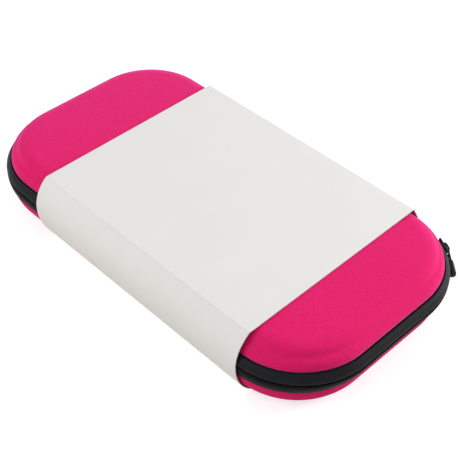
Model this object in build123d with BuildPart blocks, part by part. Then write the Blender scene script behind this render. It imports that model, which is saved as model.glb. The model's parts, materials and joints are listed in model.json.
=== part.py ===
"""A zipped hard case for a stethoscope, lying flat inside a loop of printed card.

Two moulded shells of fabric, foam and lining are joined by a zipper that runs round the
right end, the front and the left end, and by a flexible strip along the back. Almost every
wall is one section carried round the same rounded outline, so a section is drawn once, as
(distance outward from the seam, height above the seam), and a run carries it round.

Frame: X along the case, Y towards the hinge, Z up, origin at the middle of the card loop's
underside, on which the case rests.
"""

import os
from math import cos, degrees, hypot, radians, sin, sqrt, tan

from build123d import *

os.makedirs("parts", exist_ok=True)

# ---- Driving dimensions (mm, degrees) ----

# Outline of the seam between the lid and the base, the widest line of the case
case_length = 280.0
case_width = 150.4
corner_radius = 48.4
base_depth = 27.0  # underside of the case to the seam
lid_depth = 18.7  # seam to the top of the lid

# Moulded shells
cover_thickness = 0.6
foam_thickness = 3.0
lining_thickness = 0.5
base_round = 17.6  # radius between the base's wall and its underside
shoulder_width = 13.4  # the lid's elliptical shoulder
shoulder_height = 8.5
rim_setback = 5.3  # seam to each shell's rim
binding_thickness = 0.7
binding_leg = 2.8

# Zipper tapes, which lean in from the seam to where they are sewn on the shells
tape_thickness = 0.9
base_tape_height = 8.2
base_tape_lean = 2.0
lid_tape_height = 6.4
lid_tape_lean = 3.5
hem_thickness = 1.15
hem_height = 1.0
slit_height = 1.2
zipper_end_angle = 50.0  # where the tapes end on the two back corners
parking_angle = 68.0  # the slit runs on into the hinge strip up to here

# Zipper teeth, behind the tapes
tooth_pitch = 4.0
tooth_root = 1.9
tooth_tip = 1.3
tooth_reach = 1.0  # past the seam
chain_thickness = 1.3
rail_height = 1.6
rail_clearance = 0.3
stop_angle = 4.0
stop_clearance = 0.6

# Slider, parked on the right-hand back corner
slider_angle = 62.5
slider_length = 10.4
slider_mouth = 8.0
slider_tail = 6.2
wing_thickness = 1.0
wing_edge_radius = 0.45
inner_wing_thickness = 1.1
inner_wing_trim = 0.3
wing_clearance = 0.3
neck_length = 7.0
neck_clearance = 0.15
bail_width = 2.2
bail_thickness = 0.8
bail_length = 7.0
bail_corner_radius = 2.0

# Puller, hanging on the bail
puller_length = 17.1
puller_width = 6.6
puller_tip_width = 5.6
puller_thickness = 1.1
grip_length = 10.6
grip_thickness = 3.8
grip_edge_radius = 1.4
puller_window = 3.8
puller_bar = 1.1
puller_head_radius = 2.2
puller_hole = 2.0
puller_droop = 28.0
puller_lean = 5.5
puller_clearance = 0.25

# Mesh pocket in the lid
mesh_thickness = 0.8
pocket_mouth = 28.0  # from the middle of the case towards the front
elastic_width = 6.0
elastic_thickness = 1.8
pocket_clearance = 0.1

# Card loop round the case
card_thickness = 0.45
card_clearance = 0.3
card_side_clearance = 0.5
sleeve_length = 169.0
sleeve_offset = 9.5  # its middle, from the middle of the case towards the right
top_crease_inset = 9.8
bottom_crease_inset = 12.0

# ---- Sizes that follow ----

seam_z = card_thickness + card_clearance + base_depth
corner_x = case_length / 2 - corner_radius
corner_y = case_width / 2 - corner_radius
shell_thickness = cover_thickness + foam_thickness + lining_thickness
base_wall = base_tape_lean + hem_thickness  # inset of the base's outer face from the seam
lid_wall = lid_tape_lean + hem_thickness
edge_height = slit_height / 2


# ---- Runs: a section carried round the case ----


def section_plane(x, y, heading):
    """A plane across the wall: its X points outward along heading, its Y is up."""
    outward = Vector(cos(radians(heading)), sin(radians(heading)), 0)
    return Plane(origin=(x, y, seam_z), x_dir=outward, z_dir=outward.cross(Vector(0, 0, 1)))


def corner_plane(side, heading):
    """A section plane on a right-hand corner: side is 1 for the back and -1 for the front."""
    return section_plane(
        corner_x + corner_radius * cos(radians(heading)),
        side * corner_y + corner_radius * sin(radians(heading)),
        heading,
    )


def corner_axis(side):
    """The upright axis of a right-hand corner, pointing down so that turns run clockwise."""
    return Axis((corner_x, side * corner_y, 0), (0, 0, -1))


def front_run(section, end_angle):
    """Carry a section from a back corner round the front to the other back corner."""
    with BuildPart() as run:
        with BuildSketch(corner_plane(1, end_angle)):
            add(section)
        revolve(axis=corner_axis(1), revolution_arc=end_angle)
        with BuildSketch(section_plane(case_length / 2, corner_y, 0)):
            add(section)
        extrude(amount=2 * corner_y)
        with BuildSketch(corner_plane(-1, 0)):
            add(section)
        revolve(axis=corner_axis(-1), revolution_arc=90)
        with BuildSketch(section_plane(corner_x, -case_width / 2, -90)):
            add(section)
        extrude(amount=corner_x)
        mirror(about=Plane.YZ)
    return run.part


def back_run(section, end_angle):
    """Carry a section along the back, from end_angle on one corner to the same on the other."""
    with BuildPart() as run:
        with BuildSketch(section_plane(0, case_width / 2, 90)):
            add(section)
        extrude(amount=corner_x)
        if end_angle < 90:
            with BuildSketch(corner_plane(1, 90)):
                add(section)
            revolve(axis=corner_axis(1), revolution_arc=90 - end_angle)
        mirror(about=Plane.YZ)
    return run.part


def corner_stretch(section, from_angle, to_angle):
    """Carry a section clockwise along a stretch of the right-hand back corner."""
    with BuildPart() as stretch:
        with BuildSketch(corner_plane(1, from_angle)):
            add(section)
        revolve(axis=corner_axis(1), revolution_arc=from_angle - to_angle)
    return stretch.part


# ---- Moulded shells, layer by layer ----


def lid_layer(outer_depth, inner_depth):
    """One layer of the lid, between two depths below its outer face."""
    spring = lid_depth - shoulder_height
    centre = (-lid_wall - shoulder_width, spring)
    with BuildSketch() as wall:
        with BuildLine():
            outside = Line((-lid_wall - outer_depth, rim_setback), (-lid_wall - outer_depth, spring))
            EllipticalCenterArc(
                centre, shoulder_width - outer_depth, shoulder_height - outer_depth, 0, arc_size=90
            )
            Line((centre[0], lid_depth - outer_depth), (centre[0], lid_depth - inner_depth))
            EllipticalCenterArc(
                centre, shoulder_width - inner_depth, shoulder_height - inner_depth, 0, arc_size=90
            )
            inside = Line((-lid_wall - inner_depth, spring), (-lid_wall - inner_depth, rim_setback))
            Line(inside @ 1, outside @ 0)
        make_face()
    flat_inset = lid_wall + shoulder_width
    with BuildPart() as layer:
        add(front_run(wall.sketch, 90))
        add(back_run(wall.sketch, 90))
        with BuildSketch(Plane.XY.offset(seam_z + lid_depth - inner_depth)):
            RectangleRounded(
                case_length - 2 * flat_inset,
                case_width - 2 * flat_inset,
                corner_radius - flat_inset,
            )
        extrude(amount=inner_depth - outer_depth)
    return layer.part


def base_layer(outer_depth, inner_depth):
    """One layer of the base, between two depths inside its outer face."""
    spring = base_round - base_depth
    centre = (-base_wall - base_round, spring)
    with BuildSketch() as wall:
        with BuildLine():
            outside = Line((-base_wall - outer_depth, -rim_setback), (-base_wall - outer_depth, spring))
            CenterArc(centre, base_round - outer_depth, 0, -90)
            Line((centre[0], outer_depth - base_depth), (centre[0], inner_depth - base_depth))
            CenterArc(centre, base_round - inner_depth, 0, -90)
            inside = Line((-base_wall - inner_depth, spring), (-base_wall - inner_depth, -rim_setback))
            Line(inside @ 1, outside @ 0)
        make_face()
    flat_inset = base_wall + base_round
    with BuildPart() as layer:
        add(front_run(wall.sketch, 90))
        add(back_run(wall.sketch, 90))
        with BuildSketch(Plane.XY.offset(seam_z - base_depth + outer_depth)):
            RectangleRounded(
                case_length - 2 * flat_inset,
                case_width - 2 * flat_inset,
                corner_radius - flat_inset,
            )
        extrude(amount=inner_depth - outer_depth)
    return layer.part


foam_depth = cover_thickness
lining_depth = cover_thickness + foam_thickness

with BuildPart() as lid_cover:
    add(lid_layer(0, foam_depth))

with BuildPart() as lid_foam_shell:
    add(lid_layer(foam_depth, lining_depth))

with BuildPart() as lid_lining:
    add(lid_layer(lining_depth, shell_thickness))

with BuildPart() as base_cover:
    add(base_layer(0, foam_depth))

with BuildPart() as base_foam_shell:
    add(base_layer(foam_depth, lining_depth))

with BuildPart() as base_lining:
    add(base_layer(lining_depth, shell_thickness))


# ---- Edge bindings: an L of tape over each rim and up its inner face ----


def edge_binding(wall_inset, side):
    """The binding on one rim: side is 1 for the lid and -1 for the base."""
    inner_face = -wall_inset - shell_thickness
    cap = side * (rim_setback - binding_thickness)
    rim = side * rim_setback
    leg_end = side * (rim_setback + binding_leg)
    with BuildSketch() as section:
        with BuildLine():
            Polyline(
                (-wall_inset, cap),
                (-wall_inset, rim),
                (inner_face, rim),
                (inner_face, leg_end),
                (inner_face - binding_thickness, leg_end),
                (inner_face - binding_thickness, cap),
                close=True,
            )
        make_face()
    with BuildPart() as binding:
        add(front_run(section.sketch, 90))
        add(back_run(section.sketch, 90))
    return binding.part


with BuildPart() as lid_edge_binding:
    add(edge_binding(lid_wall, 1))

with BuildPart() as base_edge_binding:
    add(edge_binding(base_wall, -1))


# ---- Zipper tapes and the hinge strip ----


def bulge_radius(lean, height):
    """Radius of a tape that leaves the seam upright and leans in by lean at its sewn edge."""
    rise = height - edge_height
    return (rise**2 + lean**2) / (2 * lean)


def tape_back(lean, height, level):
    """Inset of a tape's inner face from the seam, at a level above or below it."""
    radius = bulge_radius(lean, height)
    return radius - sqrt((radius - tape_thickness) ** 2 - (level - edge_height) ** 2)


def tape_section(lean, height, side):
    """One tape, from the slit to the hem that is sewn on the shell's wall."""
    hem_foot = height - hem_height
    back_of_hem = -tape_back(lean, height, hem_foot)
    wall = -lean - hem_thickness
    with BuildSketch() as section:
        with BuildLine():
            TangentArc((0, side * edge_height), (-lean, side * height), tangent=(0, side))
            Polyline(
                (-lean, side * height),
                (wall, side * height),
                (wall, side * hem_foot),
                (back_of_hem, side * hem_foot),
            )
            TangentArc(
                (-tape_thickness, side * edge_height),
                (back_of_hem, side * hem_foot),
                tangent=(0, side),
            )
            Line((-tape_thickness, side * edge_height), (0, side * edge_height))
        make_face()
    return section.sketch


lid_tape = tape_section(lid_tape_lean, lid_tape_height, 1)
base_tape = tape_section(base_tape_lean, base_tape_height, -1)

with BuildPart() as lid_zipper_tape:
    add(front_run(lid_tape, zipper_end_angle))

with BuildPart() as base_zipper_tape:
    add(front_run(base_tape, zipper_end_angle))

# The hinge strip is both tapes in one, closed across the seam, and slit where the slider parks
with BuildSketch() as strip_bridge:
    with Locations((-tape_thickness / 2, 0)):
        Rectangle(tape_thickness, slit_height)

with BuildSketch() as strip_section:
    add(lid_tape)
    add(base_tape)
    add(strip_bridge.sketch)

with BuildPart() as hinge_gusset:
    add(back_run(strip_section.sketch, zipper_end_angle))
    add(corner_stretch(strip_bridge.sketch, parking_angle, zipper_end_angle), mode=Mode.SUBTRACT)


# ---- Zipper teeth: two combs that interlock behind the slit ----

rail_inner_level = tooth_reach + rail_clearance
rail_outer_level = rail_inner_level + rail_height
chain_inset = max(
    tape_back(lid_tape_lean, lid_tape_height, rail_outer_level),
    tape_back(base_tape_lean, base_tape_height, rail_outer_level),
)
chain_end_angle = zipper_end_angle - stop_angle


def run_places(offset):
    """Planes for the teeth on the right-hand half, offset by a share of a pitch."""
    corner_arc = radians(chain_end_angle) * corner_radius
    places = []
    count = round(corner_arc / tooth_pitch)
    for tooth in range(count):
        places.append(corner_plane(1, chain_end_angle * (1 - (tooth + offset) / count)))
    count = round(2 * corner_y / tooth_pitch)
    for tooth in range(count):
        along = corner_y - 2 * corner_y * (tooth + offset) / count
        places.append(section_plane(case_length / 2, along, 0))
    count = round(radians(90) * corner_radius / tooth_pitch)
    for tooth in range(count):
        places.append(corner_plane(-1, -90 * (tooth + offset) / count))
    count = round(corner_x / tooth_pitch)
    for tooth in range(count):
        along = corner_x * (1 - (tooth + offset) / count)
        places.append(section_plane(along, -case_width / 2, -90))
    return places


def zipper_comb(side, offset):
    """A rail with its teeth: side is 1 for the lid, whose teeth point down, and -1 for the base."""
    middle = -chain_inset - chain_thickness / 2
    with BuildSketch() as rail:
        with Locations((middle, side * (rail_inner_level + rail_height / 2))):
            Rectangle(chain_thickness, rail_height)
    with BuildPart() as tooth:
        with BuildSketch(Plane.YZ.offset(middle)):
            with BuildLine():
                Polyline(
                    (side * rail_outer_level, -tooth_root / 2),
                    (side * rail_inner_level, -tooth_root / 2),
                    (-side * tooth_reach, -tooth_tip / 2),
                    (-side * tooth_reach, tooth_tip / 2),
                    (side * rail_inner_level, tooth_root / 2),
                    (side * rail_outer_level, tooth_root / 2),
                    close=True,
                )
            make_face()
        extrude(amount=chain_thickness / 2, both=True)
    with BuildPart() as comb:
        add(front_run(rail.sketch, chain_end_angle))
        with BuildPart(mode=Mode.PRIVATE) as half:
            with Locations(*[Location(place) for place in run_places(offset)]):
                add(tooth.part)
        add(half.part)
        add(half.part.mirror(Plane.YZ))
    return comb.part


with BuildPart() as lid_teeth:
    add(zipper_comb(1, 0.0))

with BuildPart() as base_teeth:
    add(zipper_comb(-1, 0.5))


def end_stops(side):
    """The two stops that close off the ends of one comb."""
    middle_level = side * (stop_clearance + rail_outer_level) / 2
    last_tooth = degrees((tooth_root / 2 + rail_clearance) / corner_radius)
    with BuildSketch() as section:
        with Locations((-chain_inset - chain_thickness / 2, middle_level)):
            Rectangle(chain_thickness, rail_outer_level - stop_clearance)
    with BuildPart() as stops:
        add(corner_stretch(section.sketch, zipper_end_angle, chain_end_angle + last_tooth))
        mirror(about=Plane.YZ)
    return stops.part


with BuildPart() as lid_end_stops:
    add(end_stops(1))

with BuildPart() as base_end_stops:
    add(end_stops(-1))


# ---- Slider and puller ----
# On this plane X runs back along the corner, Y is up and Z points outward from the seam.

slider_heading = Vector(cos(radians(slider_angle)), sin(radians(slider_angle)), 0)
slider_plane = Plane(
    origin=Vector(corner_x, corner_y, seam_z) + slider_heading * corner_radius,
    x_dir=Vector(0, 0, 1).cross(slider_heading),
    z_dir=slider_heading,
)
inner_wing_face = chain_inset + chain_thickness + rail_clearance
outer_wing_face = wing_clearance + wing_thickness
bar_swing = hypot(puller_bar / 2, puller_thickness / 2)  # the bar's reach as it turns
bar_level = outer_wing_face + bar_swing + puller_clearance
bail_inside = bar_level + bar_swing + puller_clearance
bar_reach = (bar_swing + bail_width / 2 * sin(radians(puller_droop))) / cos(radians(puller_droop))
bar_place = -bail_length / 2 + bail_thickness + puller_clearance + bar_reach


def wing_outline(trim):
    """The slider's outline: a wide mouth, shoulders, and a narrow tail."""
    mouth = slider_mouth / 2 - trim
    tail = slider_tail / 2 - trim
    front = slider_length / 2 - trim
    with BuildSketch() as outline:
        with BuildLine():
            Polyline(
                (-front, -tail),
                (0, -tail),
                (front / 2, -mouth),
                (front, -mouth),
                (front, mouth),
                (front / 2, mouth),
                (0, tail),
                (-front, tail),
                close=True,
            )
        make_face()
        fillet(outline.vertices(), tail / 4)
    return outline.sketch


with BuildPart() as slider_body:
    with BuildSketch(slider_plane.offset(wing_clearance)):
        add(wing_outline(0))
    extrude(amount=wing_thickness)
    outer_face = slider_body.faces().sort_by(Axis(slider_plane.origin, slider_heading))[-1]
    fillet(outer_face.edges(), wing_edge_radius)
    with BuildSketch(slider_plane.offset(-inner_wing_face)):
        add(wing_outline(inner_wing_trim))
    extrude(amount=-inner_wing_thickness)
    with BuildSketch(slider_plane.offset(-inner_wing_face)):
        SlotOverall(neck_length, slit_height - 2 * neck_clearance)
    extrude(amount=inner_wing_face + wing_clearance)

with BuildPart() as slider_bail:
    bail_plane = Plane(origin=slider_plane.origin, x_dir=slider_plane.x_dir, z_dir=(0, 0, -1))
    with BuildSketch(bail_plane) as bail_outline:
        with BuildLine():
            foot = bail_length / 2
            crown = bail_inside + bail_thickness
            Polyline((-foot, outer_wing_face), (-foot, crown), (foot, crown), (foot, outer_wing_face))
            Polyline(
                (foot, outer_wing_face),
                (foot - bail_thickness, outer_wing_face),
                (foot - bail_thickness, bail_inside),
                (bail_thickness - foot, bail_inside),
                (bail_thickness - foot, outer_wing_face),
                (-foot, outer_wing_face),
            )
        make_face()
        inner_corners = bail_outline.vertices().group_by(Axis.Y)[1]
        fillet(inner_corners, bail_corner_radius - bail_thickness)
        fillet(bail_outline.vertices().group_by(Axis.Y)[-1], bail_corner_radius)
    extrude(amount=bail_width / 2, both=True)

# The puller's plane stands on the bail's bar, leaning in and drooping with the puller
puller_plane = Plane(
    slider_plane.location
    * Location((bar_place, 0, bar_level), (0, -puller_lean, puller_droop))
)

# The window clears the bail's leg although the puller droops
leg_reach = bar_place + bail_length / 2
window_width = bail_width + 2 * (puller_clearance + leg_reach * tan(radians(puller_droop)))

with BuildPart() as puller:
    with BuildSketch(puller_plane.offset(-puller_thickness / 2)) as puller_outline:
        head = puller_width / 2
        tip = puller_tip_width / 2
        window_start = puller_bar / 2
        window_length = puller_window - window_start
        with BuildLine():
            nose = ThreePointArc(
                (tip - puller_length, -tip), (-puller_length, 0), (tip - puller_length, tip)
            )
            Polyline(nose @ 1, (window_start, head), (window_start, -head), nose @ 0)
        make_face()
        fillet(puller_outline.vertices().sort_by(Axis.X)[-2:], puller_head_radius)
        with Locations((-window_start - window_length / 2, 0)):
            Rectangle(window_length, window_width, mode=Mode.SUBTRACT)
    extrude(amount=puller_thickness)
    with BuildSketch(puller_plane.offset(-grip_thickness / 2)):
        with Locations((grip_length / 2 - puller_length, 0)):
            SlotOverall(grip_length, puller_tip_width)
    grip = extrude(amount=grip_thickness, mode=Mode.PRIVATE)
    grip_faces = grip.faces().filter_by(Axis(puller_plane.origin, puller_plane.z_dir))
    add(grip.fillet(grip_edge_radius, grip_faces.edges()))
    with BuildSketch(puller_plane.offset(-grip_thickness / 2)):
        with Locations((tip - puller_length, 0)):
            Circle(puller_hole / 2)
    extrude(amount=grip_thickness, mode=Mode.SUBTRACT)


# ---- Mesh pocket in the lid: a panel sewn in behind the rim, open along an elastic edge ----

pocket_inset = lid_wall + shell_thickness + binding_thickness + pocket_clearance
pocket_level = seam_z + rim_setback


def pocket_piece(level, thickness, from_y, to_y):
    """The part of the lid's inner outline that lies between two lines along the case."""
    with BuildPart() as piece:
        with BuildSketch(Plane.XY.offset(level)):
            RectangleRounded(
                case_length - 2 * pocket_inset,
                case_width - 2 * pocket_inset,
                corner_radius - pocket_inset,
            )
            with Locations((0, (from_y + to_y) / 2)):
                Rectangle(case_length, to_y - from_y, mode=Mode.INTERSECT)
        extrude(amount=thickness)
    return piece.part


with BuildPart() as mesh_pocket:
    add(pocket_piece(pocket_level, mesh_thickness, -pocket_mouth, case_width))

with BuildPart() as pocket_elastic:
    add(pocket_piece(pocket_level, elastic_thickness, -pocket_mouth - elastic_width, -pocket_mouth))


# ---- Card loop: a flat top and underside, with bowed sides that rest on the zipper band ----

sleeve_half_width = case_width / 2 + card_side_clearance + card_thickness
sleeve_top = seam_z + lid_depth + card_clearance + card_thickness

with BuildPart() as sleeve_loop:
    with BuildSketch(Plane.YZ.offset(sleeve_offset - sleeve_length / 2)):
        with BuildLine():
            top_crease = sleeve_half_width - top_crease_inset
            bottom_crease = sleeve_half_width - bottom_crease_inset
            TangentArc((sleeve_half_width, seam_z), (top_crease, sleeve_top), tangent=(0, 1))
            Line((top_crease, sleeve_top), (-top_crease, sleeve_top))
            TangentArc((-sleeve_half_width, seam_z), (-top_crease, sleeve_top), tangent=(0, 1))
            TangentArc((-sleeve_half_width, seam_z), (-bottom_crease, 0), tangent=(0, -1))
            Line((-bottom_crease, 0), (bottom_crease, 0))
            TangentArc((sleeve_half_width, seam_z), (bottom_crease, 0), tangent=(0, -1))
        make_face()
        offset(amount=-card_thickness, mode=Mode.SUBTRACT)
    extrude(amount=sleeve_length)

with BuildPart() as sleeve_upper:
    add(sleeve_loop.part)
    split(bisect_by=Plane.XY.offset(seam_z), keep=Keep.TOP)

with BuildPart() as sleeve_lower:
    add(sleeve_loop.part)
    split(bisect_by=Plane.XY.offset(seam_z), keep=Keep.BOTTOM)


# ---- One STEP file for each piece ----

pieces = {
    "lid_cover": lid_cover,
    "lid_foam_shell": lid_foam_shell,
    "lid_lining": lid_lining,
    "lid_edge_binding": lid_edge_binding,
    "lid_zipper_tape": lid_zipper_tape,
    "lid_teeth": lid_teeth,
    "lid_end_stops": lid_end_stops,
    "mesh_pocket": mesh_pocket,
    "pocket_elastic": pocket_elastic,
    "base_cover": base_cover,
    "base_foam_shell": base_foam_shell,
    "base_lining": base_lining,
    "base_edge_binding": base_edge_binding,
    "base_zipper_tape": base_zipper_tape,
    "base_teeth": base_teeth,
    "base_end_stops": base_end_stops,
    "hinge_gusset": hinge_gusset,
    "slider_body": slider_body,
    "slider_bail": slider_bail,
    "puller": puller,
    "sleeve_upper": sleeve_upper,
    "sleeve_lower": sleeve_lower,
}

for name, piece in pieces.items():
    piece.part.label = name
    export_step(piece.part, f"parts/{name}.step")
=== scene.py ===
"""Zipped hard case for a stethoscope in its card sleeve: looks, light and camera."""

import json
from math import asin, atan2, ceil, cos, exp, pi, radians, sin, sqrt

import bmesh
import bpy
from bpy.props import FloatProperty, FloatVectorProperty, PointerProperty
from mathutils import Matrix, Vector


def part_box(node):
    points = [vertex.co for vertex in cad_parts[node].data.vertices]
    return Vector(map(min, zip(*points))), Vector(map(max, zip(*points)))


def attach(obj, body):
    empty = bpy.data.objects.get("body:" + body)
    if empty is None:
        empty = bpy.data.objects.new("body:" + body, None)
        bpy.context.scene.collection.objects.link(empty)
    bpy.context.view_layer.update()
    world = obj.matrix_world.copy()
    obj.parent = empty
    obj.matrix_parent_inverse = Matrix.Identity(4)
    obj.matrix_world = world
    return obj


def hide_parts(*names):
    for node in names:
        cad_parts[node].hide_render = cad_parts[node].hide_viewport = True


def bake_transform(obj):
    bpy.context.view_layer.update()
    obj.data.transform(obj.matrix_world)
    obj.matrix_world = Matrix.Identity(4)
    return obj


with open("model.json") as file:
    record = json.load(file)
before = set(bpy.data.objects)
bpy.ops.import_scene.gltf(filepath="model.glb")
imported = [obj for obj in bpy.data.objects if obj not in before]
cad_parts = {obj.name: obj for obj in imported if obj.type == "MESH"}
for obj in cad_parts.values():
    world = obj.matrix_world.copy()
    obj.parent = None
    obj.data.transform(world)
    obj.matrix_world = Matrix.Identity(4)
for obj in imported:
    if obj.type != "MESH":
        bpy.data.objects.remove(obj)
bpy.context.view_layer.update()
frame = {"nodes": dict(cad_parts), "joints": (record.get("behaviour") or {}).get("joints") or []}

bl_info = {
    "name": "Zipped Hard Case",
    "version": (1, 0, 0),
    "blender": (4, 5, 0),
    "location": "View3D > Sidebar > Hard Case",
    "description": "Builds a zipped hard case with its card sleeve around a fixed frame",
    "category": "Add Mesh",
}

MM = 0.001
NODES = frame["nodes"]
JOINTS = {joint["name"]: joint for joint in frame["joints"]}

# ---- Places that the frame gives ----

SEAM = JOINTS["slider_travel"]["pos_m"][2]
CORNER_X, CORNER_Y = JOINTS["slider_travel"]["pos_m"][:2]
HALF_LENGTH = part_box("base_zipper_tape")[1][0]
CORNER_RADIUS = HALF_LENGTH - CORNER_X
HALF_WIDTH = CORNER_Y + CORNER_RADIUS


def inset_of(node):
    """How far a node's widest part stands inside the seam's outline."""
    return HALF_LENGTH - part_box(node)[1][0]


def levels_of(node):
    """A node's lowest and highest level, counted from the seam."""
    low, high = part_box(node)
    return low[2] - SEAM, high[2] - SEAM


def zipper_end():
    """Where on a back corner the tapes end and the hinge strip begins: an angle in radians."""
    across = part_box("base_zipper_tape")[1][1] - CORNER_Y
    return asin(across / CORNER_RADIUS)


# ---- The outline, walked clockwise from the middle of the back ----

# Each side's length and, for a corner, on which side it lies along and across the case and the
# angle in degrees at which it starts.
SIDES = (
    (CORNER_X, None),
    (CORNER_RADIUS * pi / 2, (1, 1, 90)),
    (2 * CORNER_Y, None),
    (CORNER_RADIUS * pi / 2, (1, -1, 0)),
    (2 * CORNER_X, None),
    (CORNER_RADIUS * pi / 2, (-1, -1, -90)),
    (2 * CORNER_Y, None),
    (CORNER_RADIUS * pi / 2, (-1, 1, -180)),
    (CORNER_X, None),
)
PERIMETER = sum(length for length, corner in SIDES)


def outline_at(walked):
    """The outline's point and outward direction after walking a distance."""
    place = Vector((0, HALF_WIDTH))
    heading = pi / 2
    for length, corner in SIDES:
        part = min(walked, length)
        if corner:
            centre = Vector((corner[0] * CORNER_X, corner[1] * CORNER_Y))
            heading = radians(corner[2]) - part / CORNER_RADIUS
            place = centre + CORNER_RADIUS * Vector((cos(heading), sin(heading)))
        else:
            place = place + part * Vector((sin(heading), -cos(heading)))
        walked -= part
        if walked <= 0:
            break
    return place, Vector((cos(heading), sin(heading)))


def walk(start, end, step):
    """Evenly spaced outline points between two distances."""
    count = max(2, ceil((end - start) / step))
    return [start + (end - start) * i / count for i in range(count + 1)]


def zipper_walk():
    """Where the tapes start and end, as distances walked."""
    start = CORNER_X + CORNER_RADIUS * (pi / 2 - zipper_end())
    return start, PERIMETER - start


# ---- Meshes ----


def link_smooth(name, mesh):
    """A smooth piece made of a mesh, in the scene."""
    mesh.shade_smooth()
    piece = bpy.data.objects.new(name, mesh)
    bpy.context.scene.collection.objects.link(piece)
    return piece


def new_piece(name, vertices, faces, uvs=None):
    """A smooth mesh object, with UVs in metres, one for each vertex."""
    mesh = bpy.data.meshes.new(name)
    mesh.from_pydata([tuple(v) for v in vertices], [], faces)
    if uvs:
        layer = mesh.uv_layers.new(name="UVMap")
        for loop in mesh.loops:
            layer.data[loop.index].uv = uvs[loop.vertex_index]
    return link_smooth(name, mesh)


def face_outward(piece):
    """Turn a mesh's faces the same way, outward where it is closed."""
    built = bmesh.new()
    built.from_mesh(piece.data)
    bmesh.ops.recalc_face_normals(built, faces=built.faces)
    built.to_mesh(piece.data)
    built.free()


def outward_piece(name, vertices, faces, uvs):
    """A smooth mesh object whose faces all look the same way, outward where it is closed."""
    piece = new_piece(name, vertices, faces, uvs)
    face_outward(piece)
    return piece


def lengths_along(points):
    """How far along an open line each of its points lies."""
    lengths = [0.0]
    for before, here in zip(points, points[1:]):
        lengths.append(lengths[-1] + (Vector(here) - Vector(before)).length)
    return lengths


def quads_between(rings, count, closed_run=False, closed_ring=True):
    """Faces that join each ring of points to the next one."""
    faces = []
    for ring in range(rings if closed_run else rings - 1):
        here = ring * count
        there = (ring + 1) % rings * count
        for i in range(count if closed_ring else count - 1):
            j = (i + 1) % count
            faces.append((here + i, here + j, there + j, there + i))
    return faces


def carry(name, section, distances, shape=None):
    """Carry a closed section of (outward, up) points along the outline, capped at both ends.

    shape may change a point: it is called with (distance, outward, up).
    """
    vertices = []
    uvs = []
    around = lengths_along(section)
    for distance in distances:
        place, outward = outline_at(distance)
        for (out, up), along in zip(section, around):
            if shape:
                out, up = shape(distance, out, up)
            spot = place + outward * out
            vertices.append((spot.x, spot.y, SEAM + up))
            uvs.append((distance, along))
    count = len(section)
    faces = quads_between(len(distances), count)
    faces.append(tuple(reversed(range(count))))
    faces.append(tuple(range(len(vertices) - count, len(vertices))))
    return outward_piece(name, vertices, faces, uvs)


def lean_aside(piece, shift, start, end):
    """Move a piece's points aside, from not at all at one level to the whole shift at another."""
    for vertex in piece.data.vertices:
        share = (vertex.co.z - SEAM - start) / (end - start)
        share = min(1, max(0, share))
        vertex.co.x += shift[0] * share
        vertex.co.y += shift[1] * share


def arc_points(centre, radius_out, radius_up, start, end, count):
    """Points of an elliptical arc, from a start angle to an end angle in degrees."""
    points = []
    for i in range(count + 1):
        angle = radians(start + (end - start) * i / count)
        points.append((centre[0] + radius_out * cos(angle), centre[1] + radius_up * sin(angle)))
    return points


SHARP_ANGLE = 40  # degrees from which an edge is rounded


def bevel(piece, width, segments=2):
    """Round a piece's sharp edges."""
    rounding = piece.modifiers.new("rounded edges", "BEVEL")
    rounding.width = width
    rounding.segments = segments
    rounding.limit_method = "ANGLE"
    rounding.angle_limit = radians(SHARP_ANGLE)
    rounding.harden_normals = True


# ---- Shader node groups ----


def new_group(name, inputs, outputs):
    """An empty shader node group with named float, colour or vector sockets."""
    group = bpy.data.node_groups.new(name, "ShaderNodeTree")
    for label, kind, value in inputs:
        socket = group.interface.new_socket(label, in_out="INPUT", socket_type=kind)
        if value is not None:
            socket.default_value = value
    for label, kind in outputs:
        group.interface.new_socket(label, in_out="OUTPUT", socket_type=kind)
    return group, group.nodes.new("NodeGroupInput"), group.nodes.new("NodeGroupOutput")


def feed(tree, socket, value):
    """Link a socket to another one, or set it to a plain value."""
    if isinstance(value, bpy.types.NodeSocket):
        tree.links.new(value, socket)
    else:
        socket.default_value = value


def math_node(tree, operation, *values, clamp=False):
    """A Math node with its inputs linked or set, giving its output."""
    node = tree.nodes.new("ShaderNodeMath")
    node.operation = operation
    node.use_clamp = clamp
    for socket, value in zip(node.inputs, values):
        feed(tree, socket, value)
    return node.outputs[0]


def vector_node(tree, operation, *values):
    """A Vector Math node with its inputs linked or set, giving its single number."""
    node = tree.nodes.new("ShaderNodeVectorMath")
    node.operation = operation
    for socket, value in zip(node.inputs, values):
        feed(tree, socket, value)
    return node.outputs["Value"]


def map_range(tree, value, **limits):
    """A Map Range node with its limits set, giving its output."""
    node = tree.nodes.new("ShaderNodeMapRange")
    tree.links.new(value, node.inputs["Value"])
    for label, limit in limits.items():
        node.inputs[label.replace("_", " ")].default_value = limit
    return node.outputs["Result"]


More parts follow.
